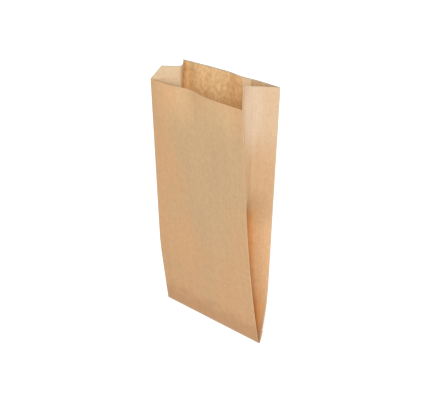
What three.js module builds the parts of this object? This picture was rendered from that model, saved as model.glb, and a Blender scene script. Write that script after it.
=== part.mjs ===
// A kraft paper bag with a folded side gusset and a pinched bottom, lying on its back panel.
// Millimetres, +Z up. X runs across the bag, Y from the pinched bottom to the open mouth.
// The wall is one closed solid: an outer skin and an inner skin, joined at the cut mouth.

import * as THREE from 'three';

// the bag as it is sold
const bagWidth = 140;
const gussetHalf = 31;         // from an outer fold to the middle crease, along the paper
const wall = 0.5;
const frontCut = 233.5;        // height of the front panel, along the paper
const backCut = 246.5;         // height of the back panel, 13 mm more
const glueHeight = 8;          // the pinched bottom is glued shut up to here
const turnUp = 12;             // strip of the bottom that is turned over onto the back
const turnUpStep = 0.6;        // how far the turned strip stands off the back panel
const stepRun = 0.4;           // the strip's edge takes this much height
const edgeRound = 1.5;         // the fold along the bottom edge closes the pleats over this height
const leastDepth = 0.02;       // share of a pleat's depth that is left in that fold
const bottomGap = 1.2;         // between the middles of the front and back walls at the bottom
const pleatGap = 0.3;          // between the two halves of a gusset where it is folded flat
const creaseGap = 0.2;         // between the inner faces of the two halves where they meet

// how each panel bends over the swollen lower part: distances along the paper, angles to the floor.
// The front panel gapes more on the right and bends there over a longer stretch.
const degree = Math.PI / 180;
const frontBend = {
  left: { at: 63, length: 29, low: 11.8 * degree, high: 6.25 * degree },
  right: { at: 72, length: 118, low: 13.9 * degree, high: 6.6 * degree },
};
const backBend = { at: 35, length: 49, low: -11.3 * degree, high: 0 };

// the gussets: depth of the middle crease at the mouth and just above where it folds in
const gussetShape = {
  left: { mouthDepth: 22, midDepth: 22.5, foldAt: 118, foldRun: 60 },
  right: { mouthDepth: 9.5, midDepth: 12.5, foldAt: 135, foldRun: 40 },
};
const softCrease = 0.35;       // share of a half that curves where the gusset is spread
const flattest = 0.2;          // the wall at a crease is measured as if a half were at least this steep
const creaseWall = 0.9;        // share of that wall by which the inner crease stands in

// the cut of the gussets: the right one keeps a free corner, the left one is cut across
const rightCut = { corner: 255, crease: 249.5 };
const leftCut = { crease: 247, slantShare: 0.34 };
const freeCornerLean = 3.5;    // the free corner leans in over the mouth

// soft waves of the mouth
const frontWave = { crown: 2, dent: 4.6, dentAt: 0.42, dentWidth: 0.15, fade: 50 };
const backWave = { lift: 3.4, liftAt: 0.64, liftWidth: 0.1, cutBow: 1.2, fade: 40 };

// how finely the paper is divided
const panelSteps = 18;
const halfSteps = 6;
const slimStep = 0.03;         // the right gusset's first step beside its front fold, share of a half
const commonRows = 34;
const rowCrowding = 1.15;      // above 1 the rows lie closer together towards the bottom
const lastCommonRow = 216;
const topRows = 5;

const half = bagWidth / 2;
const mix = THREE.MathUtils.lerp;
const smooth = THREE.MathUtils.smoothstep;

// a panel's run in the YZ plane: a straight piece, an arc and a straight piece
function alongBend(bend, height) {
  const arcStart = bend.at - bend.length / 2;
  const radius = bend.length / (bend.high - bend.low);
  const first = Math.min(height, arcStart);
  const onArc = THREE.MathUtils.clamp(height - arcStart, 0, bend.length);
  const last = Math.max(height - arcStart - bend.length, 0);
  const angle = bend.low + onArc / radius;
  const arcY = radius * (Math.sin(angle) - Math.sin(bend.low));
  const arcZ = radius * (Math.cos(bend.low) - Math.cos(angle));
  return {
    y: first * Math.cos(bend.low) + arcY + last * Math.cos(bend.high),
    z: first * Math.sin(bend.low) + arcZ + last * Math.sin(bend.high),
  };
}

const bell = (share, centre, width) => Math.exp(-(((share - centre) / width) ** 2));
const floorLevel = wall / 2;
const bottomLevel = floorLevel - alongBend(backBend, backCut).z;

// the middle of the back wall at a share of the width, 0 left and 1 right
function backWall(share, height) {
  const run = alongBend(backBend, height);
  const nearMouth = smooth(height, backCut - backWave.fade, backCut);
  const lift = backWave.lift * bell(share, backWave.liftAt, backWave.liftWidth) * nearMouth;
  const bow = backWave.cutBow * Math.sin(Math.PI * share) * nearMouth;
  return { y: run.y + bow, z: bottomLevel + run.z + lift };
}

// the middle of the front wall
function frontWall(share, height) {
  const left = alongBend(frontBend.left, height);
  const right = alongBend(frontBend.right, height);
  const nearMouth = smooth(height, frontCut - frontWave.fade, frontCut);
  const crown = frontWave.crown * Math.sin(Math.PI * share);
  const dent = frontWave.dent * bell(share, frontWave.dentAt, frontWave.dentWidth);
  const rise = mix(left.z, right.z, share) + (crown - dent) * nearMouth;
  return { y: mix(left.y, right.y, share), z: bottomLevel + bottomGap + rise };
}

// how far the middle crease of a gusset stands in from the side, at a height
function creaseDepth(side, height) {
  const share = side === 'left' ? 0 : 1;
  const shape = gussetShape[side];
  const opening = frontWall(share, height).z - backWall(share, height).z;
  const folded = Math.sqrt(Math.max(gussetHalf ** 2 - (opening / 2) ** 2, 0));
  const spread = mix(shape.midDepth, shape.mouthDepth, smooth(height, shape.foldAt, backCut));
  const open = smooth(height, shape.foldAt - shape.foldRun / 2, shape.foldAt + shape.foldRun / 2);
  return { depth: mix(folded, spread, open), open };
}

// one half of a gusset in the XZ plane. along is 0 at the outer fold and 1 at the crease,
// panel is the wall that the fold belongs to, and up is 1 under the front and -1 over the back
function gussetPoint(side, along, height, panel, other, up, inner) {
  const crease = creaseDepth(side, height);
  const open = crease.open;
  // the turned edge closes the end of the pleat
  const depth = crease.depth * (inner ? 1 : Math.max(smooth(height, 0, edgeRound), leastDepth));
  const middle = { y: (panel.y + other.y) / 2, z: (panel.z + other.z) / 2 + up * pleatGap / 2 };
  const slope = Math.abs(panel.z - middle.z) / depth;
  const rounded = along + softCrease * open * (along * (1 - along));
  let inward = depth * rounded;
  let z = mix(panel.z, middle.z, along);
  if (inner) {
    // the inner skin lies one wall further in, and stops where it meets the panel's inner face
    const lift = wall * Math.sqrt(1 + slope * slope);
    const cornerShare = Math.min((lift + wall / 2) / (slope * depth), 1);
    const innerAlong = mix(cornerShare, 1, along);
    const innerRounded = innerAlong + softCrease * open * (innerAlong * (1 - innerAlong));
    const wallAcross = wall * Math.sqrt(1 + 1 / (slope * slope + flattest * flattest));
    inward = depth * innerRounded + creaseWall * wallAcross * along;
    z = mix(panel.z - up * wall / 2, (panel.z + other.z) / 2 + up * creaseGap / 2, along);
  }
  const lean = side === 'right' && up > 0 ? freeCornerLean * (1 - along) : 0;
  z -= lean * smooth(height, frontCut, rightCut.corner);
  const x = (half - inward) * (side === 'left' ? -1 : 1);
  return new THREE.Vector3(x, mix(panel.y, middle.y, along), z);
}

// every column of the wall, once round the bag: its cut height and its point at a height
function wallColumns() {
  const columns = [];
  const add = (cut, point) => columns.push({ cut, point });
  const innerHalf = (side, height, up) => {
    const share = side === 'left' ? 0 : 1;
    const panels = [frontWall(share, height), backWall(share, height)];
    const [panel, other] = up > 0 ? panels : panels.reverse();
    return Math.abs(gussetPoint(side, 0, height, panel, other, up, true).x);
  };
  const onPanel = (wallAt, up) => (share) => (height, inner) => {
    const place = wallAt(share, height);
    const atFold = share === 0 || share === 1;
    const rim = atFold && !inner ? 0 : wall / 2;
    const turned = up < 0 && !inner ? turnUpStep * (1 - smooth(height, turnUp, turnUp + stepRun)) : 0;
    const left = inner ? -innerHalf('left', height, up) : -half;
    const right = inner ? innerHalf('right', height, up) : half;
    const side = inner ? -1 : 1;
    return new THREE.Vector3(mix(left, right, share), place.y, place.z + up * (side * rim + turned));
  };
  const onGusset = (side, up) => (along) => (height, inner) => {
    const share = side === 'left' ? 0 : 1;
    const front = frontWall(share, height);
    const back = backWall(share, height);
    return gussetPoint(side, along, height, up > 0 ? front : back, up > 0 ? back : front, up, inner);
  };

  const front = onPanel(frontWall, 1);
  for (let i = 0; i <= panelSteps; i++) add(frontCut, front(i / panelSteps));
  const rightFront = onGusset('right', 1);
  for (let i = 1; i <= halfSteps; i++) {
    const along = i === 1 ? slimStep : (i - 1) / (halfSteps - 1);
    add(mix(rightCut.corner, rightCut.crease, along), rightFront(along));
  }
  const rightBack = onGusset('right', -1);
  for (let i = halfSteps; i > 0; i--) {
    add(mix(backCut, rightCut.crease, i / halfSteps), rightBack(i / halfSteps));
  }
  const back = onPanel(backWall, -1);
  for (let i = panelSteps; i >= 0; i--) add(backCut, back(i / panelSteps));
  const leftBack = onGusset('left', -1);
  for (let i = 1; i <= halfSteps; i++) {
    add(mix(backCut, leftCut.crease, i / halfSteps), leftBack(i / halfSteps));
  }
  const leftFront = onGusset('left', 1);
  for (let i = halfSteps; i > 0; i--) {
    const along = i / halfSteps;
    const slant = Math.min(along / leftCut.slantShare, 1);
    add(mix(frontCut, leftCut.crease, slant), leftFront(along));
  }
  return columns;
}

// heights of the rows of one column: the same for all up to the last common row
function rowHeights(start, cut) {
  const heights = [];
  for (let i = 0; i < commonRows; i++) {
    heights.push(mix(start, lastCommonRow, (i / commonRows) ** rowCrowding));
  }
  heights.push(turnUp, turnUp + stepRun);
  heights.sort((a, b) => a - b);
  for (let i = 0; i <= topRows; i++) heights.push(mix(lastCommonRow, cut, i / topRows));
  return heights;
}

function bagWall() {
  const columns = wallColumns();
  const count = columns.length;
  const positions = [];
  const faces = [];
  const skin = (start, inner) => {
    const first = positions.length / 3;
    const rows = rowHeights(start, backCut).length;
    for (let row = 0; row < rows; row++) {
      for (const column of columns) {
        positions.push(...column.point(rowHeights(start, column.cut)[row], inner).toArray());
      }
    }
    for (let row = 0; row < rows - 1; row++) {
      for (let i = 0; i < count; i++) {
        const a = first + row * count + i;
        const b = first + row * count + (i + 1) % count;
        const corners = inner ? [b, a, b + count, a + count] : [a, b, a + count, b + count];
        faces.push(corners[0], corners[1], corners[2], corners[1], corners[3], corners[2]);
      }
    }
    return { first, rim: first + (rows - 1) * count };
  };
  const outer = skin(0, false);
  const inner = skin(glueHeight, true);

  // the cut edge of the paper joins the skins at the mouth
  for (let i = 0; i < count; i++) {
    const next = (i + 1) % count;
    faces.push(outer.rim + i, outer.rim + next, inner.rim + i);
    faces.push(outer.rim + next, inner.rim + next, inner.rim + i);
  }
  // the bottom is closed outside, and the inside ends above the glue
  const cap = (ring, flip) => {
    const contour = columns.map((column, i) => {
      const at = 3 * (ring + i);
      return new THREE.Vector2(positions[at], positions[at + 2]);
    });
    for (const [a, b, c] of THREE.ShapeUtils.triangulateShape(contour, [])) {
      faces.push(...(flip ? [ring + a, ring + c, ring + b] : [ring + a, ring + b, ring + c]));
    }
  };
  cap(outer.first, false);
  cap(inner.first, true);

  const geometry = new THREE.BufferGeometry();
  geometry.setAttribute('position', new THREE.Float32BufferAttribute(positions, 3));
  geometry.setIndex(faces);
  return geometry;
}

const geometry = bagWall();
geometry.computeBoundingBox();
const box = geometry.boundingBox;
geometry.translate(0, -(box.min.y + box.max.y) / 2, -box.min.z);
geometry.computeVertexNormals();

const kraft = new THREE.MeshStandardMaterial({ color: 0xd0ac83, roughness: 0.85, metalness: 0 });
const bag = new THREE.Mesh(geometry, kraft);
bag.name = 'bag';

const group = new THREE.Group();
group.add(bag);

export default group;
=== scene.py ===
# A kraft paper bag folded from one flat blank, lying on its back panel with its mouth open.
import math

import bpy
from mathutils import Matrix, Vector, noise


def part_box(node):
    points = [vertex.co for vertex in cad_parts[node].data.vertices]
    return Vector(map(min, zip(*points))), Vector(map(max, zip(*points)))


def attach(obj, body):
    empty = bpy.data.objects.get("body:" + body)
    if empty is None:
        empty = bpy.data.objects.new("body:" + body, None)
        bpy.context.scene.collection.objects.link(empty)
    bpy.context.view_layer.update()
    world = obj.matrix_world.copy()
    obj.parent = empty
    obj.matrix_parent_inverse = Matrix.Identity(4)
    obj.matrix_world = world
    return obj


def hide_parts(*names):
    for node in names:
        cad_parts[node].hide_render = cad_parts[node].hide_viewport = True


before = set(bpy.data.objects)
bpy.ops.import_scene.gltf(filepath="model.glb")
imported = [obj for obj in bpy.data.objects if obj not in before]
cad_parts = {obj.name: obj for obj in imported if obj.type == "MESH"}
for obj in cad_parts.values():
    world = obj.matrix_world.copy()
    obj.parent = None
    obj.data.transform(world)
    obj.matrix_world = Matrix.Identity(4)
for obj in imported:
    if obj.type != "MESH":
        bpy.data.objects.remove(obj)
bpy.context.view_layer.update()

low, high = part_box("bag")
mm = 0.001
print("frame loaded, bag box in mm:", [round(side / mm, 1) for side in high - low])


def mix(first, second, share):
    return first + (second - first) * share


def smooth(value, start, end):
    share = min(max((value - start) / (end - start), 0), 1)
    return share * share * (3 - 2 * share)


def bell(value, centre, width):
    return math.exp(-((value - centre) / width) ** 2)


bagShape = {
    "width": high.x - low.x,
    "gussetHalf": 31 * mm,         # outer fold to middle crease, along the paper
    "frontCut": 233.5 * mm,        # height of the front panel
    "backCut": 246.5 * mm,         # height of the back panel, and how much more it is in the middle
    "backCutBow": 1.2 * mm,
    "freeCorner": 255 * mm,        # top of the right gusset at its front fold
    "rightCreaseCut": 249.5 * mm,
    "leftCreaseCut": 247 * mm,
    "slantShare": 0.34,            # share of the left gusset's front half that is cut on the slant
    # each panel rises from the bottom at its low angle and bends to its high one
    "frontLeft": {"at": 63 * mm, "length": 29 * mm, "low": math.radians(11.8), "high": math.radians(6.25)},
    "frontRight": {"at": 72 * mm, "length": 118 * mm, "low": math.radians(13.9), "high": math.radians(6.6)},
    "back": {"at": 35 * mm, "length": 49 * mm, "low": math.radians(-11.3), "high": 0.0},
    "bottomGap": 1.35 * mm,        # middle of the back layer to middle of the front layer at the bottom
    "left": {"mouthDepth": 22 * mm, "midDepth": 22.5 * mm, "foldAt": 118 * mm, "foldRun": 60 * mm,
             "softRound": 1.6 * mm},     # the middle crease is this round where the gusset is spread
    "right": {"mouthDepth": 9.5 * mm, "midDepth": 12.5 * mm, "foldAt": 135 * mm, "foldRun": 40 * mm,
              "softRound": 5 * mm},
    "softCrease": 0.35,            # a spread half bows inwards, and a folded one bulges out by this much
    "foldedBulge": 0.05,
    "freeCornerLean": 3.5 * mm,    # the free corner leans in over the mouth
    "crown": 2 * mm,               # the front panel's cut edge arches up and has a dent
    "dent": {"deep": 4.6 * mm, "at": 0.42, "width": 0.15, "fade": 50 * mm, "cut": 1 * mm},
    "lift": {"high": 3.4 * mm, "at": 0.64, "width": 0.10, "fade": 40 * mm},     # the back panel's cut rises
}

paper = {
    "thick": 0.2 * mm,
    "layerGap": 0.26 * mm,         # between the middles of layers folded flat on each other
    "foldRound": 0.5 * mm,         # an outer fold is round over this much on either side
    "seamInner": 22 * mm,          # the glued seam of the back panel, from edge to edge
    "seamOuter": 32.5 * mm,
    "seamEase": 3 * mm,            # the inner layer of the seam steps onto the outer one over this much
    "turnUp": 12 * mm,             # strip of the bottom turned over onto the back
    "turnStart": 1.1 * mm,         # the paper starts to turn this far above the bottom edge
    "turnRun": 2.2 * mm,           # and has turned round after this much
    "stripSqueeze": 0.4,           # the strip's layers lie closer than those above them
    "stripDrop": 1.2 * mm,         # from the middle of the bottom to the middle of the strip
    "columnStep": 2 * mm,          # how finely the blank is creased
    "foldColumns": (0, 0.18 * mm, 0.36 * mm, 0.6 * mm, 1.1 * mm),   # creases on both sides of a fold
    "rowStep": 2.1 * mm,
    "turnRows": 8,
    "stripRows": 6,
    "topRows": 7,
    "cutBorder": 2.4 * mm,         # rows lie closer in this border of the cut
    "cutRows": (0.35, 1),          # at these shares of it
    "mergeWithin": 0.01 * mm,
    "sharpAngle": math.radians(50),
}

ripples = {
    "slow": {"high": 0.45 * mm, "across": 42 * mm, "along": 60 * mm},
    "quick": {"high": 0.14 * mm, "across": 11 * mm, "along": 19 * mm},
    "calm": 14 * mm,               # ripples die down to this share this close to a fold
    "calmShare": 0.3,
    # they grow from nothing over the wake, and the place sets one panel's apart from the other's
    "front": {"place": 3.7, "wake": 30 * mm},
    "back": {"place": 8.2, "wake": 50 * mm},
}

half = bagShape["width"] / 2


def alongBend(bend, height):
    # a straight run, an arc and a straight run in the YZ plane
    arcStart = bend["at"] - bend["length"] / 2
    radius = bend["length"] / (bend["high"] - bend["low"])
    first = min(height, arcStart)
    onArc = min(max(height - arcStart, 0), bend["length"])
    last = max(height - arcStart - bend["length"], 0)
    angle = bend["low"] + onArc / radius
    y = first * math.cos(bend["low"]) + last * math.cos(bend["high"])
    z = first * math.sin(bend["low"]) + last * math.sin(bend["high"])
    y += radius * (math.sin(angle) - math.sin(bend["low"]))
    z += radius * (math.cos(bend["low"]) - math.cos(angle))
    return y, z


bottomLevel = paper["thick"] / 2 - alongBend(bagShape["back"], bagShape["backCut"])[1]


def ripple(panel, share, height):
    across = share * bagShape["width"]
    edge = min(across, bagShape["width"] - across)
    calm = mix(ripples["calmShare"], 1, smooth(edge, 0, ripples["calm"]))
    total = 0
    for name in ("slow", "quick"):
        wave = ripples[name]
        spot = Vector((across / wave["across"], height / wave["along"], ripples[panel]["place"]))
        total += wave["high"] * noise.noise(spot)
    return total * calm


def frontWall(share, height):
    # share is 0 at the left fold and 1 at the right one
    left = Vector(alongBend(bagShape["frontLeft"], height))
    place = left.lerp(Vector(alongBend(bagShape["frontRight"], height)), share)
    dent = bagShape["dent"]
    nearMouth = smooth(height, bagShape["frontCut"] - dent["fade"], bagShape["frontCut"])
    wave = bagShape["crown"] * math.sin(math.pi * share)
    wave -= dent["deep"] * bell(share, dent["at"], dent["width"])
    awake = smooth(height, 0, ripples["front"]["wake"])
    place.x += dent["cut"] * bell(share, dent["at"], dent["width"]) * nearMouth
    place.y += bottomLevel + bagShape["bottomGap"] + wave * nearMouth + ripple("front", share, height) * awake
    return place


def backWall(share, height):
    y, z = alongBend(bagShape["back"], height)
    lift = bagShape["lift"]
    nearMouth = smooth(height, bagShape["backCut"] - lift["fade"], bagShape["backCut"])
    wave = lift["high"] * bell(share, lift["at"], lift["width"]) * nearMouth
    bow = bagShape["backCutBow"] * math.sin(math.pi * share) * nearMouth
    awake = smooth(height, 0, ripples["back"]["wake"])
    return Vector((y + bow, bottomLevel + z + wave + abs(ripple("back", share, height)) * awake))


def creaseDepth(side, share, height):
    # how far the middle crease stands in, and how far the gusset is spread there
    shape = bagShape[side]
    opening = frontWall(share, height)[1] - backWall(share, height)[1]
    folded = math.sqrt(max(bagShape["gussetHalf"] ** 2 - (opening / 2) ** 2, 0))
    spread = mix(shape["midDepth"], shape["mouthDepth"], smooth(height, shape["foldAt"], bagShape["backCut"]))
    run = shape["foldRun"] / 2
    spreadShare = smooth(height, shape["foldAt"] - run, shape["foldAt"] + run)
    return mix(folded, spread, spreadShare), spreadShare


def gussetPoint(side, along, height, up):
    # along is 0 at the outer fold and 1 at the crease; up is 1 under the front panel and -1 over the back
    share = 0 if side == "left" else 1
    front, back = frontWall(share, height), backWall(share, height)
    panel, other = (front, back) if up > 0 else (back, front)
    depth, spreadShare = creaseDepth(side, share, height)
    bow = bagShape["softCrease"] * spreadShare * along * (1 - along)
    inward = depth * (along + bow)
    middle = (panel + other) / 2
    opening = abs(panel[1] - other[1])
    z = mix(panel[1] - up * paper["layerGap"], middle[1] + up * paper["layerGap"] / 2, along)
    z -= up * bagShape["foldedBulge"] * (1 - spreadShare) * opening * math.sin(math.pi * along)
    if side == "right" and up > 0:
        lean = smooth(height, bagShape["frontCut"], bagShape["freeCorner"])
        z -= bagShape["freeCornerLean"] * (1 - along) * lean
    outward = 1 if side == "right" else -1
    return Vector((outward * (half - inward), mix(panel[0], middle[0], along), z))


def panelPoint(x, height, up):
    share = (x + half) / bagShape["width"]
    y, z = frontWall(share, height) if up > 0 else backWall(share, height)
    return Vector((x, y, z))


def blankFolds():
    # distances across the flat blank, from the seam's outer edge once round to its inner edge
    folds = {}
    folds["leftBack"] = paper["seamOuter"] + half
    folds["leftCrease"] = folds["leftBack"] + bagShape["gussetHalf"]
    folds["leftFront"] = folds["leftCrease"] + bagShape["gussetHalf"]
    folds["rightFront"] = folds["leftFront"] + bagShape["width"]
    folds["rightCrease"] = folds["rightFront"] + bagShape["gussetHalf"]
    folds["rightBack"] = folds["rightCrease"] + bagShape["gussetHalf"]
    folds["end"] = folds["rightBack"] + half - paper["seamInner"]
    return folds


folds = blankFolds()
hingeNames = ("leftBack", "leftCrease", "leftFront", "rightFront", "rightCrease", "rightBack")


def cutHeight(across):
    # where the paper is cut at the mouth
    gusset = bagShape["gussetHalf"]
    if across <= folds["leftBack"] or across >= folds["rightBack"]:
        return bagShape["backCut"]
    if across <= folds["leftCrease"]:
        share = (across - folds["leftBack"]) / gusset
        return mix(bagShape["backCut"], bagShape["leftCreaseCut"], share)
    if across <= folds["leftFront"]:
        share = (folds["leftFront"] - across) / gusset / bagShape["slantShare"]
        return mix(bagShape["frontCut"], bagShape["leftCreaseCut"], min(share, 1))
    if across < folds["rightFront"]:
        return bagShape["frontCut"]
    if across <= folds["rightCrease"]:
        share = (across - folds["rightFront"]) / gusset
        return mix(bagShape["freeCorner"], bagShape["rightCreaseCut"], share)
    share = (folds["rightBack"] - across) / gusset
    return mix(bagShape["backCut"], bagShape["rightCreaseCut"], share)


def sharpPoint(across, height):
    # the folded place of a point of the blank, with knife-sharp folds
    gusset = bagShape["gussetHalf"]
    if across < folds["leftBack"]:
        return panelPoint(paper["seamOuter"] - across, height, -1)
    if across < folds["leftCrease"]:
        return gussetPoint("left", (across - folds["leftBack"]) / gusset, height, -1)
    if across < folds["leftFront"]:
        return gussetPoint("left", (folds["leftFront"] - across) / gusset, height, 1)
    if across < folds["rightFront"]:
        return panelPoint(across - folds["leftFront"] - half, height, 1)
    if across < folds["rightCrease"]:
        return gussetPoint("right", (across - folds["rightFront"]) / gusset, height, 1)
    if across < folds["rightBack"]:
        return gussetPoint("right", (folds["rightBack"] - across) / gusset, height, -1)
    x = half - (across - folds["rightBack"])
    place = panelPoint(x, height, -1)
    overlap = 1 - smooth(x, paper["seamOuter"], paper["seamOuter"] + paper["seamEase"])
    place.z += paper["layerGap"] * overlap   # the seam's inner layer lies on the outer one
    return place


def roundedPoint(across, height):
    # the same with each fold rounded by a short quadratic curve
    hair = 0.0001 * mm
    for name in hingeNames:
        reach = paper["foldRound"]
        if name.endswith("Crease"):
            side = name[:-len("Crease")]
            share = 0 if side == "left" else 1
            reach = mix(reach, bagShape[side]["softRound"], creaseDepth(side, share, height)[1])
        offset = across - folds[name]
        if abs(offset) >= reach:
            continue
        corner = (sharpPoint(folds[name] - hair, height) + sharpPoint(folds[name] + hair, height)) / 2
        before = sharpPoint(folds[name] - reach, height)
        after = sharpPoint(folds[name] + reach, height)
        share = (offset + reach) / (2 * reach)
        return (1 - share) ** 2 * before + 2 * share * (1 - share) * corner + share ** 2 * after
    return sharpPoint(across, height)


def foldedPoint(across, height):
    # below the bottom edge the flat tube turns round under itself and lies on the back panel
    start = paper["turnStart"]
    if height >= start:
        place = roundedPoint(across, height)
    else:
        place = roundedPoint(across, start)
        middle = bottomLevel + bagShape["bottomGap"] / 2
        above = place.z
        under = middle - paper["stripDrop"] - (above - middle) * paper["stripSqueeze"]
        turn = min((start - height) / paper["turnRun"], 1) * math.pi
        radius = (above - under) / 2
        beyond = max(start - height - paper["turnRun"], 0)
        tilt = bagShape["back"]["low"]
        place.y += beyond * math.cos(tilt) - radius * math.sin(turn)
        place.z = (above + under) / 2 + radius * math.cos(turn) + beyond * math.sin(tilt)
    place.y += low.y
    return place


def columnPlaces():
    # cuts across the blank: close together at the folds, even between them
    stops = [0] + [folds[name] for name in hingeNames] + [folds["end"]]
    places = {folds["leftFront"] - bagShape["slantShare"] * bagShape["gussetHalf"]}
    for start, end in zip(stops, stops[1:]):
        count = round((end - start) / paper["columnStep"])
        places.update(mix(start, end, i / count) for i in range(1, count))
    for name in hingeNames:
        for step in paper["foldColumns"]:
            places.update((folds[name] - step, folds[name] + step))
    return sorted(places)


def rowPlaces():
    # cuts up the blank, closer together where the bottom turns over and in the border of the cut
    count = round(bagShape["frontCut"] / paper["rowStep"])
    start, end = paper["turnStart"], paper["turnStart"] - paper["turnRun"]
    turnRows, stripRows = paper["turnRows"], paper["stripRows"]
    places = [mix(start, bagShape["frontCut"], i / count) for i in range(count + 1)]
    places += [mix(start, end, i / turnRows) for i in range(1, turnRows + 1)]
    places += [mix(end, -paper["turnUp"], i / stripRows) for i in range(1, stripRows)]
    step = (bagShape["freeCorner"] - bagShape["frontCut"]) / paper["topRows"]
    places += [bagShape["frontCut"] + step * i for i in range(1, paper["topRows"])]
    places += [bagShape["freeCorner"] - paper["cutBorder"] * share for share in paper["cutRows"]]
    return sorted(places)


def bisectAll(axis, places):
    for place in places:
        bpy.ops.mesh.select_all(action="SELECT")
        bpy.ops.mesh.bisect(plane_co=axis * place, plane_no=axis)


def deleteFaces(piece, wanted):
    bpy.ops.mesh.select_mode(type="FACE")
    bpy.ops.mesh.select_all(action="DESELECT")
    bpy.ops.object.mode_set(mode="OBJECT")
    for face in piece.data.polygons:
        face.select = wanted(face.center)
    bpy.ops.object.mode_set(mode="EDIT")
    bpy.ops.mesh.delete(type="FACE")


def cutBlank():
    # a flat rectangle of paper, cut to the mouth's outline and creased into a fine grid
    tall = bagShape["freeCorner"] + paper["turnUp"]
    wide = folds["end"]
    middle = (wide / 2, tall / 2 - paper["turnUp"], 0)
    bpy.ops.object.select_all(action="DESELECT")
    bpy.ops.mesh.primitive_plane_add(size=1, location=middle)
    piece = bpy.context.object
    piece.name = "paper_bag"
    piece.data.name = "paper_bag"
    bpy.ops.transform.resize(value=(wide, tall, 1))
    bpy.ops.object.transform_apply(location=True, rotation=True, scale=True)
    bpy.ops.object.mode_set(mode="EDIT")
    bisectAll(Vector((1, 0, 0)), columnPlaces())
    bisectAll(Vector((0, 1, 0)), rowPlaces())
    deleteFaces(piece, lambda centre: folds["leftFront"] < centre.x < folds["rightFront"]
                and centre.y > bagShape["frontCut"])
    bpy.ops.object.mode_set(mode="OBJECT")
    for corner in piece.data.vertices:
        over = corner.co.y - bagShape["frontCut"]
        if over > 0:
            share = over / (bagShape["freeCorner"] - bagShape["frontCut"])
            corner.co.y = mix(bagShape["frontCut"], cutHeight(corner.co.x), share)
    bpy.ops.object.mode_set(mode="EDIT")
    bpy.ops.mesh.select_mode(type="VERT")
    bpy.ops.mesh.select_all(action="SELECT")
    bpy.ops.mesh.remove_doubles(threshold=paper["mergeWithin"])
    bpy.ops.object.mode_set(mode="OBJECT")
    return piece


patternSize = 0.42                 # metres of paper to one unit of the map


def layPattern(piece):
    # the pattern's map is the flat paper itself, from the blank's lower left
    paperMap = piece.data.uv_layers.active
    paperMap.name = "paper"
    for loop in piece.data.loops:
        flat = piece.data.vertices[loop.vertex_index].co
        paperMap.data[loop.index].uv = (flat.x / patternSize, (flat.y + paper["turnUp"]) / patternSize)


# where the marks for the tones fade in or out; along is 0 at a gusset's outer fold and 1 at its crease
marks = {
    "wearFrom": (0.3 * mm, 2.2 * mm),   # distance from a fold or the bottom edge
    "slightWear": 0.4,                  # share of the wear on the right front fold
    "cutFrom": (0.4 * mm, 1.8 * mm),    # distance from the cut
    "pleatAlong": (0.35, 0.8),
    "pleatSpread": (0.05, 0.5),         # a spread gusset has no pleat
    "lowShare": 0.75,                   # near the bottom nearly all of a half is in the pleat
    "lowAlong": (0, 0.3),
    "lowHeight": (8 * mm, 62 * mm),
    "shutAlong": (0.27, 0.43),
    "shutHeight": (8 * mm, 52 * mm),
}


def mark(piece, name, valueAt):
    made = piece.data.attributes.new(name, "FLOAT", "POINT")
    for corner in piece.data.vertices:
        made.data[corner.index].value = valueAt(corner.co.x, corner.co.y)


def wearAt(across, height):
    # how near a point lies to an outer fold or the bottom edge, for the worn paper there
    nearest = min(abs(across - folds[name]) for name in ("leftBack", "leftFront", "rightBack"))
    worn = 1 - smooth(min(nearest, abs(height)), *marks["wearFrom"])
    slightly = 1 - smooth(abs(across - folds["rightFront"]), *marks["wearFrom"])
    return max(worn, marks["slightWear"] * slightly)


def cutAt(across, height):
    # how near a point lies to the cut at the mouth
    return 1 - smooth(cutHeight(across) - height, *marks["cutFrom"])


def pleatShadeAt(across, height):
    # how deep a point lies in a folded pleat, for the painted shade there
    side = "left" if across < (folds["leftFront"] + folds["rightFront"]) / 2 else "right"
    share = 0 if side == "left" else 1
    along = 1 - abs(across - folds[side + "Crease"]) / bagShape["gussetHalf"]
    spreadShare = creaseDepth(side, share, max(height, 0))[1]
    inside = smooth(along, *marks["pleatAlong"]) * (1 - smooth(spreadShare, *marks["pleatSpread"]))
    low = smooth(along, *marks["lowAlong"]) * (1 - smooth(height, *marks["lowHeight"]))
    return max(inside, marks["lowShare"] * low)


def shutShadeAt(across, height):
    # the painted shade line where a pleat closes towards the bottom
    nearest = min(abs(across - folds["leftCrease"]), abs(across - folds["rightCrease"]))
    along = 1 - nearest / bagShape["gussetHalf"]
    return smooth(along, *marks["shutAlong"]) * (1 - smooth(height, *marks["shutHeight"]))


def foldBag(piece):
    for corner in piece.data.vertices:
        corner.co = foldedPoint(corner.co.x, corner.co.y)
    piece.data.update()


def thickenPaper(piece):
    wall = piece.modifiers.new("thickness", "SOLIDIFY")
    wall.thickness = paper["thick"]
    wall.offset = 0
    wall.material_offset = 1
    wall.material_offset_rim = 2
    bpy.context.view_layer.objects.active = piece
    bpy.ops.object.modifier_apply(modifier=wall.name)
    bpy.ops.object.shade_smooth_by_angle(angle=paper["sharpAngle"])


waveUnit = 20 / (2 * math.pi)      # a wave texture's bands repeat each 2 pi / 20 of a unit

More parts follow.
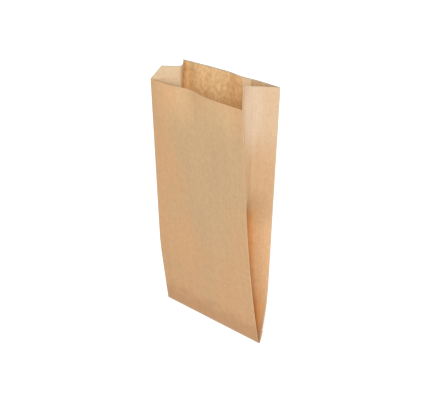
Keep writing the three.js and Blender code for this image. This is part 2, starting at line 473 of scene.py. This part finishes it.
# a pattern is its size across and along the paper in millimetres, its detail and its roughness,
# a shade is the share by which it shades the tone, and a span is the part of its values that counts
grain = {
    "ribPitch": 3.7,
    "ribRun": 400,
    "ribBend": 0.6,
    "ribRelief": 0.5,
    "ribShade": 0.012,
    "fibre": (0.5, 3.5, 3.0, 0.6),
    "fibreShade": 0.05,
    "pore": (0.9, 1.1, 3.0, 0.65),
    "blot": (5, 7, 3.0, 0.6),
    "blotShade": 0.04,
    "speck": (2.2, 2.4, 2.0, 0.6),
    "speckShade": 0.05,
    "streak": (8, 150, 2.0, 0.5),
    "streakShade": 0.02,
    "shadeSpan": (0.25, 0.75),
    "cloud": (45, 70, 2.0, 0.5),
    "cloudSpan": (0.3, 0.7),
    "cloudShift": 0.25,            # how far the clouds shift the rim of the cooler patch
    "fleck": (0.8, 2.2, 2.0, 0.7),
    "fleckSpan": (0.68, 0.76),     # only the peaks of that pattern are flecks
    "fleckShare": 0.35,
    "bottomRim": (14, 9, 2.0, 0.5),     # the uneven rim of the darker bottom
    "bottomRimSpan": (0.2, 0.8),
    "bottomRimShift": 6.0,
    "wear": (4, 9, 3.0, 0.5),      # the uneven wear of the folds
    "wearSpan": (0.35, 0.7),
    "relief": 0.05,                # how deep the grain is, in millimetres
}

# places, sizes and heights are millimetres on the flat paper, from its lower left corner
kraftTone = {
    "warm": (0.585, 0.340, 0.168, 1),
    "cool": (0.528, 0.348, 0.184, 1),
    "coolAt": (252, 185),               # the cooler patch of the front panel
    "coolSize": (85, 135),
    "coolSpan": (-0.15, 0.75),
    "mouth": (1.09, 1.10, 1.09, 1),     # multiplies the front panel's tone near its cut
    "mouthHeight": (195.0, 238.0),
    "mouthInset": (4, 12),              # it stays this far off the left and the right fold
    "mouthSoft": 10.0,
    # painted light on the right gusset: lighter low in its pleat, painted shade in its middle and a painted
    # sheen at the top
    "gussets": (("gussetLowLight", (48.0, 80.0)), ("gussetMiddle", (118.0, 148.0)), ("gussetTopSheen", (178.0, 232.0))),
    "gussetLowLight": (0.590, 0.366, 0.192, 1),
    "gussetMiddle": (0.481, 0.300, 0.157, 1),
    "gussetTopSheen": (0.516, 0.360, 0.225, 1),
    "gussetSoft": 1.0,
    # painted highlight on the right gusset near its crease at the mouth
    "paintedHighlight": (0.545, 0.398, 0.272, 1),
    "paintedHighlightAt": (331, 240),               # the palest patch of the right gusset
    "paintedHighlightSize": (22, 46),
    "paintedHighlightSpan": (0.0, 0.6),
    # painted shade on the right gusset beside its front fold
    "shadeBesideFold": (0.84, 0.79, 0.73, 1),    # multiplies the right gusset's tone beside its front fold
    "shadeBesideFoldHeight": (110.0, 140.0),
    "shadeBesideFoldReach": (-0.4, 4),
    "shadeBesideFoldSoft": 0.5,
    "lowEdge": (0.84, 0.90, 0.94, 1),   # and beside its back fold near the bottom
    "lowEdgeHeight": (40.0, 75.0),
    "lowEdgeReach": (-3, 2),
    "lowEdgeSoft": 1.5,
    "bottom": (0.440, 0.225, 0.105, 1),
    "bottomHeight": (20.0, 40.0),
    "bottomShare": 0.55,
    "worn": (0.480, 0.385, 0.285, 1),
    "wornShares": (0.3, 0.7),
    "fleck": (0.270, 0.150, 0.065, 1),
    # painted shade in the pleats: these darken and warm the tone where the folds hide the light
    "deep": (1.08, 0.88, 0.57, 1),      # multiplies the tone deep in a pleat
    "low": (0.96, 0.82, 0.56, 1),       # again near the bottom
    "lowHeight": (30.0, 100.0),
    "shut": (0.72, 0.48, 0.27, 1),      # and once more where the pleat closes there
    "roughness": 0.62,
    "roughShares": (0.56, 0.68),
    "roughSpan": (0.3, 0.7),
    "relief": 0.5,
}

insideTone = {
    "dark": (0.560, 0.335, 0.142, 1),
    "light": (0.735, 0.512, 0.270, 1),
    "mottle": (4.5, 4.5, 3.0, 0.6),
    "mottleShare": 0.7,
    "broad": (22, 40, 1.0, 0.5),
    "streak": (9, 160, 1.0, 0.5),
    "streakShare": 0.15,
    "blotchSpan": (0.32, 0.68),
    # painted light deeper in the bag, away from the cut
    "paintedLightBelow": (1.32, 1.31, 1.28, 1),     # multiplies the tone away from the cut
    "paintedLightBelowHeight": (215.0, 256.0),
    "middle": (1.00, 0.90, 0.80, 1),    # multiplies the tone right of the middle, beside the seam
    "middleAcross": (24.0, 41.0),
    # and in bands along the back folds, painted light in the left corner and painted shade on the right: from
    # and to which distance of the fold, how soft, and the tone
    "leftCornerLight": (-10, 2, 4.0, (1.32, 1.38, 1.42, 1)),
    "rightShade": (-4, 40, 1.0, (0.72, 0.70, 0.72, 1)),
    "rightCorner": (-4, 16, 6.0, (0.94, 1.12, 1.38, 1)),
    "gusset": (0.560, 0.420, 0.262, 1),
    "gussetBlot": (0.500, 0.300, 0.150, 1),
    "gussetBlotSpan": (0.5, 0.68),
    "gussetBlotShare": 0.6,
    "gussetSoft": 0.6,
    "backHalfShare": 0.6,               # share of the gusset's tone on the left gusset's back half
    "seam": (0.600, 0.420, 0.250, 1),
    "seamPast": 9,                      # the seam's tone runs on past the edge of the paper
    "seamSoft": 0.5,
    "seamShade": 0.05,
    "fibreShade": 0.04,
    "cut": (0.440, 0.380, 0.300, 1),
    "cutShare": 0.9,
    "roughness": 0.7,
    "relief": 0.4,
}

edgeTone = {
    "dark": (0.300, 0.215, 0.140, 1),
    "light": (0.520, 0.400, 0.280, 1),
    "streak": (1.5, 1.5, 3.0, 0.7),
    "streakSpan": (0.3, 0.7),
    "roughness": 0.85,
}


def addNode(tree, kind, inputs=None, **settings):
    # inputs are sockets to link or values to set, by the input's name or number
    made = tree.nodes.new("ShaderNode" + kind)
    for name, value in settings.items():
        setattr(made, name, value)
    for name, value in (inputs or {}).items():
        if isinstance(value, bpy.types.NodeSocket):
            tree.links.new(value, made.inputs[name])
        else:
            made.inputs[name].default_value = value
    return made


def paperPlace(tree):
    # the place on the flat paper in millimetres
    flat = addNode(tree, "UVMap", uv_map="paper")
    scale = patternSize / mm
    return addNode(tree, "Mapping", {"Vector": flat.outputs["UV"], "Scale": (scale, scale, scale)}).outputs[0]


def stretched(tree, place, across, along):
    # pattern coordinates for features of this many millimetres
    return addNode(tree, "Mapping", {"Vector": place, "Scale": (1 / across, 1 / along, 1)}).outputs[0]


def cloudy(tree, place, pattern):
    across, along, detail, rough = pattern
    spot = stretched(tree, place, across, along)
    wanted = {"Vector": spot, "Scale": 1.0, "Detail": detail, "Roughness": rough}
    return addNode(tree, "TexNoise", wanted).outputs["Fac"]


def patch(tree, place, centre, size):
    # 1 in the middle of an oval patch of the flat paper, down to 0 at its rim
    shift = (-centre[0] / size[0], -centre[1] / size[1], 0)
    scale = (1 / size[0], 1 / size[1], 1)
    spot = addNode(tree, "Mapping", {"Vector": place, "Location": shift, "Scale": scale}).outputs[0]
    return addNode(tree, "TexGradient", {"Vector": spot}, gradient_type="SPHERICAL").outputs["Fac"]


def between(tree, value, limits, low=0.0, high=1.0):
    # eases from low to high while the value passes from the first limit to the second
    wanted = {"Value": value, "From Min": limits[0], "From Max": limits[1], "To Min": low, "To Max": high}
    return addNode(tree, "MapRange", wanted, interpolation_type="SMOOTHSTEP").outputs["Result"]


def linkOrSet(tree, sockets, values):
    for socket, value in zip(sockets, values):
        if isinstance(value, bpy.types.NodeSocket):
            tree.links.new(value, socket)
        else:
            socket.default_value = value


def calculate(tree, operation, first, second):
    made = addNode(tree, "Math", operation=operation)
    linkOrSet(tree, made.inputs, (first, second))
    return made.outputs[0]


def times(tree, first, second):
    return calculate(tree, "MULTIPLY", first, second)


def blendColour(tree, share, first, second, way="MIX"):
    made = addNode(tree, "Mix", data_type="RGBA", blend_type=way)
    linkOrSet(tree, (made.inputs[0], made.inputs[6], made.inputs[7]), (share, first, second))
    return made.outputs[2]


def tinted(tree, colour, share, tone):
    # multiplies a colour by a tone where the share is 1
    return blendColour(tree, share, colour, blendColour(tree, 1.0, colour, tone, "MULTIPLY"))


def shadeByValue(tree, colour, value, strength):
    # multiplies a colour by 1 +- strength
    factor = between(tree, value, grain["shadeSpan"], 1 - strength, 1 + strength)
    grey = addNode(tree, "CombineColor", {"Red": factor, "Green": factor, "Blue": factor}).outputs[0]
    return blendColour(tree, 1.0, colour, grey, "MULTIPLY")


def onPanel(tree, across, start, end, soft):
    # 1 between two distances across the blank, in millimetres, with soft edges
    rising = between(tree, across, (start - soft, start + soft))
    falling = between(tree, across, (end - soft, end + soft), 1.0, 0.0)
    return times(tree, rising, falling)


def marked(tree, name):
    return addNode(tree, "Attribute", attribute_name=name).outputs["Fac"]


def foldPlace(name):
    return folds[name] / mm


def newPaper(name, tone):
    material = bpy.data.materials.new(name)
    material.use_nodes = True
    tree = material.node_tree
    shader = tree.nodes["Principled BSDF"]
    shader.inputs["Roughness"].default_value = tone["roughness"]
    return material, tree, shader


def paperRelief(tree, place, shader, strength):
    # fine ribs up the paper, fibres and a soft grain
    spot = stretched(tree, place, grain["ribPitch"] * waveUnit, grain["ribRun"])
    wanted = {"Vector": spot, "Scale": 1.0, "Distortion": grain["ribBend"], "Detail": 1.0}
    ribs = addNode(tree, "TexWave", wanted).outputs["Fac"]
    fibres = cloudy(tree, place, grain["fibre"])
    relief = calculate(tree, "ADD", times(tree, ribs, grain["ribRelief"]), fibres)
    relief = calculate(tree, "ADD", relief, cloudy(tree, place, grain["pore"]))
    bump = addNode(tree, "Bump", {"Height": relief, "Strength": strength, "Distance": grain["relief"] * mm})
    tree.links.new(bump.outputs["Normal"], shader.inputs["Normal"])
    return ribs, fibres


def frontTone(tree, place, across, height):
    # a cooler patch with a cloudy rim in the middle of the front panel, and a lighter tone near the cut
    tone = kraftTone
    shift = grain["cloudShift"]
    clouds = between(tree, cloudy(tree, place, grain["cloud"]), grain["cloudSpan"], -shift, shift)
    cool = calculate(tree, "ADD", patch(tree, place, tone["coolAt"], tone["coolSize"]), clouds)
    colour = blendColour(tree, between(tree, cool, tone["coolSpan"]), tone["warm"], tone["cool"])
    start = foldPlace("leftFront") + tone["mouthInset"][0]
    end = foldPlace("rightFront") - tone["mouthInset"][1]
    front = onPanel(tree, across, start, end, tone["mouthSoft"])
    return tinted(tree, colour, times(tree, front, between(tree, height, tone["mouthHeight"])), tone["mouth"])


def gussetPaintedLight(tree, place, across, height, colour):
    # painted light on the right gusset: lighter low in its pleat, painted shade above the pleat, and a
    # painted sheen and a painted highlight at the mouth
    tone = kraftTone
    gusset = onPanel(tree, across, foldPlace("rightFront"), foldPlace("rightBack"), tone["gussetSoft"])
    for name, heights in tone["gussets"]:
        colour = blendColour(tree, times(tree, gusset, between(tree, height, heights)), colour, tone[name])
    paintedHighlight = between(tree, patch(tree, place, tone["paintedHighlightAt"], tone["paintedHighlightSize"]), tone["paintedHighlightSpan"])
    return blendColour(tree, times(tree, gusset, paintedHighlight), colour, tone["paintedHighlight"])


def bottomTone(tree, place, height, colour):
    # darker towards the bottom, with an uneven rim
    shift = grain["bottomRimShift"]
    uneven = between(tree, cloudy(tree, place, grain["bottomRim"]), grain["bottomRimSpan"], -shift, shift)
    rim = calculate(tree, "ADD", height, uneven)
    share = between(tree, rim, kraftTone["bottomHeight"], kraftTone["bottomShare"], 0.0)
    return blendColour(tree, share, colour, kraftTone["bottom"])


def grainTone(tree, place, ribs, fibres, colour):
    for name in ("blot", "speck", "streak"):
        colour = shadeByValue(tree, colour, cloudy(tree, place, grain[name]), grain[name + "Shade"])
    colour = shadeByValue(tree, colour, fibres, grain["fibreShade"])
    colour = shadeByValue(tree, colour, ribs, grain["ribShade"])
    flecks = between(tree, cloudy(tree, place, grain["fleck"]), grain["fleckSpan"], 0.0, grain["fleckShare"])
    return blendColour(tree, flecks, colour, kraftTone["fleck"])


def pleatShadeTone(tree, height, colour):
    # painted shade deep inside the pleats, more so near the bottom and where they close
    pleat = marked(tree, "pleat")
    colour = tinted(tree, colour, pleat, kraftTone["deep"])
    low = times(tree, pleat, between(tree, height, kraftTone["lowHeight"], 1.0, 0.0))
    colour = tinted(tree, colour, low, kraftTone["low"])
    return tinted(tree, colour, marked(tree, "shut"), kraftTone["shut"])


def foldTone(tree, place, across, height, colour):
    # painted shade beside the right gusset's front fold, a darker band beside its back fold near the bottom,
    # and worn along the outer folds
    tone = kraftTone
    start, end = (foldPlace("rightBack") + reach for reach in tone["lowEdgeReach"])
    backFold = onPanel(tree, across, start, end, tone["lowEdgeSoft"])
    low = between(tree, height, tone["lowEdgeHeight"], 1.0, 0.0)
    colour = tinted(tree, colour, times(tree, backFold, low), tone["lowEdge"])
    start, end = (foldPlace("rightFront") + reach for reach in tone["shadeBesideFoldReach"])
    frontFoldShade = onPanel(tree, across, start, end, tone["shadeBesideFoldSoft"])
    above = between(tree, height, tone["shadeBesideFoldHeight"])
    colour = tinted(tree, colour, times(tree, frontFoldShade, above), tone["shadeBesideFold"])
    patchy = between(tree, cloudy(tree, place, grain["wear"]), grain["wearSpan"], *tone["wornShares"])
    return blendColour(tree, times(tree, marked(tree, "wear"), patchy), colour, tone["worn"])


def kraftOutside():
    material, tree, shader = newPaper("kraft_outside", kraftTone)
    place = paperPlace(tree)
    flat = addNode(tree, "SeparateXYZ", {"Vector": place})
    across, height = flat.outputs["X"], flat.outputs["Y"]
    ribs, fibres = paperRelief(tree, place, shader, kraftTone["relief"])
    colour = frontTone(tree, place, across, height)
    colour = gussetPaintedLight(tree, place, across, height, colour)
    colour = bottomTone(tree, place, height, colour)
    colour = grainTone(tree, place, ribs, fibres, colour)
    colour = pleatShadeTone(tree, height, colour)
    colour = foldTone(tree, place, across, height, colour)
    tree.links.new(colour, shader.inputs["Base Color"])
    rough = between(tree, fibres, kraftTone["roughSpan"], *kraftTone["roughShares"])
    tree.links.new(rough, shader.inputs["Roughness"])
    return material


def insidePanel(tree, place, across, height, mottle):
    # mottled and streaked, darker near the cut and lighter deeper in the bag by painted light, with painted
    # light and shade in bands along the back folds
    tone = insideTone
    broad = cloudy(tree, place, tone["broad"])
    streaks = cloudy(tree, place, tone["streak"])
    blotch = times(tree, calculate(tree, "ADD", broad, streaks), tone["streakShare"])
    blotch = calculate(tree, "ADD", blotch, times(tree, mottle, tone["mottleShare"]))
    colour = blendColour(tree, between(tree, blotch, tone["blotchSpan"]), tone["dark"], tone["light"])
    colour = tinted(tree, colour, between(tree, height, tone["paintedLightBelowHeight"], 1.0, 0.0), tone["paintedLightBelow"])
    colour = tinted(tree, colour, between(tree, across, tone["middleAcross"], 1.0, 0.0), tone["middle"])
    bands = (("leftBack", "leftCornerLight"), ("rightBack", "rightShade"), ("rightBack", "rightCorner"))
    for fold, band in bands:
        start, end, soft, tint = tone[band]
        along = onPanel(tree, across, foldPlace(fold) + start, foldPlace(fold) + end, soft)
        colour = tinted(tree, colour, along, tint)
    return colour


def insideGussets(tree, across, mottle, colour):
    # smoother and lighter, with a few blots
    tone = insideTone
    soft = tone["gussetSoft"]
    leftFrontHalf = onPanel(tree, across, foldPlace("leftCrease"), foldPlace("leftFront"), soft)
    leftBackHalf = onPanel(tree, across, foldPlace("leftBack"), foldPlace("leftCrease"), soft)
    right = onPanel(tree, across, foldPlace("rightFront"), foldPlace("rightBack"), soft)
    gussets = calculate(tree, "ADD", leftFrontHalf, right)
    gussets = calculate(tree, "ADD", gussets, times(tree, leftBackHalf, tone["backHalfShare"]))
    blots = between(tree, mottle, tone["gussetBlotSpan"], 0.0, tone["gussetBlotShare"])
    return blendColour(tree, gussets, colour, blendColour(tree, blots, tone["gusset"], tone["gussetBlot"]))


def kraftInside():
    material, tree, shader = newPaper("kraft_inside", insideTone)
    place = paperPlace(tree)
    flat = addNode(tree, "SeparateXYZ", {"Vector": place})
    across, height = flat.outputs["X"], flat.outputs["Y"]
    fibres = paperRelief(tree, place, shader, insideTone["relief"])[1]
    mottle = cloudy(tree, place, insideTone["mottle"])
    colour = insidePanel(tree, place, across, height, mottle)
    colour = insideGussets(tree, across, mottle, colour)
    seamStart = (folds["end"] - paper["seamOuter"] + paper["seamInner"]) / mm
    seamEnd = foldPlace("end") + insideTone["seamPast"]
    seam = onPanel(tree, across, seamStart, seamEnd, insideTone["seamSoft"])
    seamColour = shadeByValue(tree, insideTone["seam"], mottle, insideTone["seamShade"])
    colour = blendColour(tree, seam, colour, seamColour)
    colour = shadeByValue(tree, colour, fibres, insideTone["fibreShade"])
    cut = times(tree, marked(tree, "cut"), insideTone["cutShare"])
    colour = blendColour(tree, cut, colour, insideTone["cut"])
    tree.links.new(colour, shader.inputs["Base Color"])
    return material


def cutEdge():
    material, tree, shader = newPaper("kraft_cut_edge", edgeTone)
    place = paperPlace(tree)
    streaks = between(tree, cloudy(tree, place, edgeTone["streak"]), edgeTone["streakSpan"])
    colour = blendColour(tree, streaks, edgeTone["dark"], edgeTone["light"])
    tree.links.new(colour, shader.inputs["Base Color"])
    return material


def makeBag():
    piece = cutBlank()
    print("blank cut,", len(piece.data.polygons), "faces")
    layPattern(piece)
    for name, valueAt in (("wear", wearAt), ("cut", cutAt), ("pleat", pleatShadeAt), ("shut", shutShadeAt)):
        mark(piece, name, valueAt)
    foldBag(piece)
    for material in (kraftOutside(), kraftInside(), cutEdge()):
        piece.data.materials.append(material)
    print("paper materials made")
    thickenPaper(piece)
    print("bag folded,", len(piece.data.polygons), "faces")
    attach(piece, "root")
    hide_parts("bag")


studio = {
    "floorSize": 24.0,
    "floorColour": (0.80, 0.80, 0.795, 1),
    "floorRoughness": 0.9,
    "floorShine": 0.1,
    "floorGlow": 0.4,
    "glowColour": (1, 1, 1, 1),
    "skyStrength": 0.37,
    "skyColour": (1.0, 1.0, 1.0, 1),
    "lamps": {
        "front": {"towards": (0.73, 0.30, 0.62), "distance": 2.4, "size": 1.2, "strength": 0.80},
        "above": {"towards": (0.0, 0.1, 1.0), "distance": 2.4, "size": 2.2, "strength": 0.45},
    },
    "lampColour": (1.0, 0.99, 0.975),
}

view = {
    "target": Vector((0, -0.855, 20)) * mm,
    "azimuth": math.radians(49.64),     # round from straight above, towards the right gusset
    "elevation": math.radians(17.52),   # from the bag's side towards its mouth
    "roll": math.radians(2.69),
    "slide": Vector((6.74, -1.42)) * mm,
    "distance": 1237 * mm,
    "pixels": 430,
    "focalPixels": 1303,
    "sensor": 36.0,
    "farthest": 100,
}


def makeFloor():
    bpy.ops.object.select_all(action="DESELECT")
    bpy.ops.mesh.primitive_plane_add(size=studio["floorSize"], location=(0, 0, 0))
    floor = bpy.context.object
    floor.name = "studio_floor"
    material = bpy.data.materials.new("studio_floor")
    material.use_nodes = True
    shader = material.node_tree.nodes["Principled BSDF"]
    shader.inputs["Base Color"].default_value = studio["floorColour"]
    shader.inputs["Roughness"].default_value = studio["floorRoughness"]
    shader.inputs["Specular IOR Level"].default_value = studio["floorShine"]
    shader.inputs["Emission Color"].default_value = studio["glowColour"]
    shader.inputs["Emission Strength"].default_value = studio["floorGlow"]
    floor.data.materials.append(material)


def makeLight():
    world = bpy.data.worlds.new("studio_sky")
    world.use_nodes = True
    sky = world.node_tree.nodes["Background"]
    sky.inputs["Color"].default_value = studio["skyColour"]
    sky.inputs["Strength"].default_value = studio["skyStrength"]
    bpy.context.scene.world = world
    for name, setting in studio["lamps"].items():
        lamp = bpy.data.lights.new(name, "AREA")
        lamp.shape = "SQUARE"
        lamp.size = setting["size"]
        # as bright on the bag as that much sky
        lamp.energy = setting["strength"] * (math.pi * setting["distance"]) ** 2
        lamp.color = studio["lampColour"]
        holder = bpy.data.objects.new(name, lamp)
        bpy.context.scene.collection.objects.link(holder)
        towards = Vector(setting["towards"]).normalized()
        holder.location = towards * setting["distance"]
        holder.rotation_euler = (-towards).to_track_quat("-Z", "Y").to_euler()


def makeCamera():
    around, up = view["azimuth"], view["elevation"]
    back = Vector((math.sin(around) * math.cos(up), math.sin(up), math.cos(around) * math.cos(up)))
    flatRight = Vector((math.cos(around), 0, -math.sin(around)))
    flatUp = back.cross(flatRight)
    right = math.cos(view["roll"]) * flatRight + math.sin(view["roll"]) * flatUp
    upward = math.cos(view["roll"]) * flatUp - math.sin(view["roll"]) * flatRight
    place = view["target"] + view["distance"] * back + view["slide"][0] * right + view["slide"][1] * upward
    lens = bpy.data.cameras.new("camera")
    lens.sensor_width = view["sensor"]
    lens.lens = view["focalPixels"] / view["pixels"] * view["sensor"]
    lens.clip_end = view["farthest"]
    camera = bpy.data.objects.new("camera", lens)
    turn = Matrix((right, upward, back)).transposed()
    camera.matrix_world = Matrix.Translation(place) @ turn.to_4x4()
    bpy.context.scene.collection.objects.link(camera)
    bpy.context.scene.camera = camera


makeBag()
makeFloor()
makeLight()
makeCamera()
bpy.context.scene.view_settings.view_transform = "Standard"
print("studio ready")
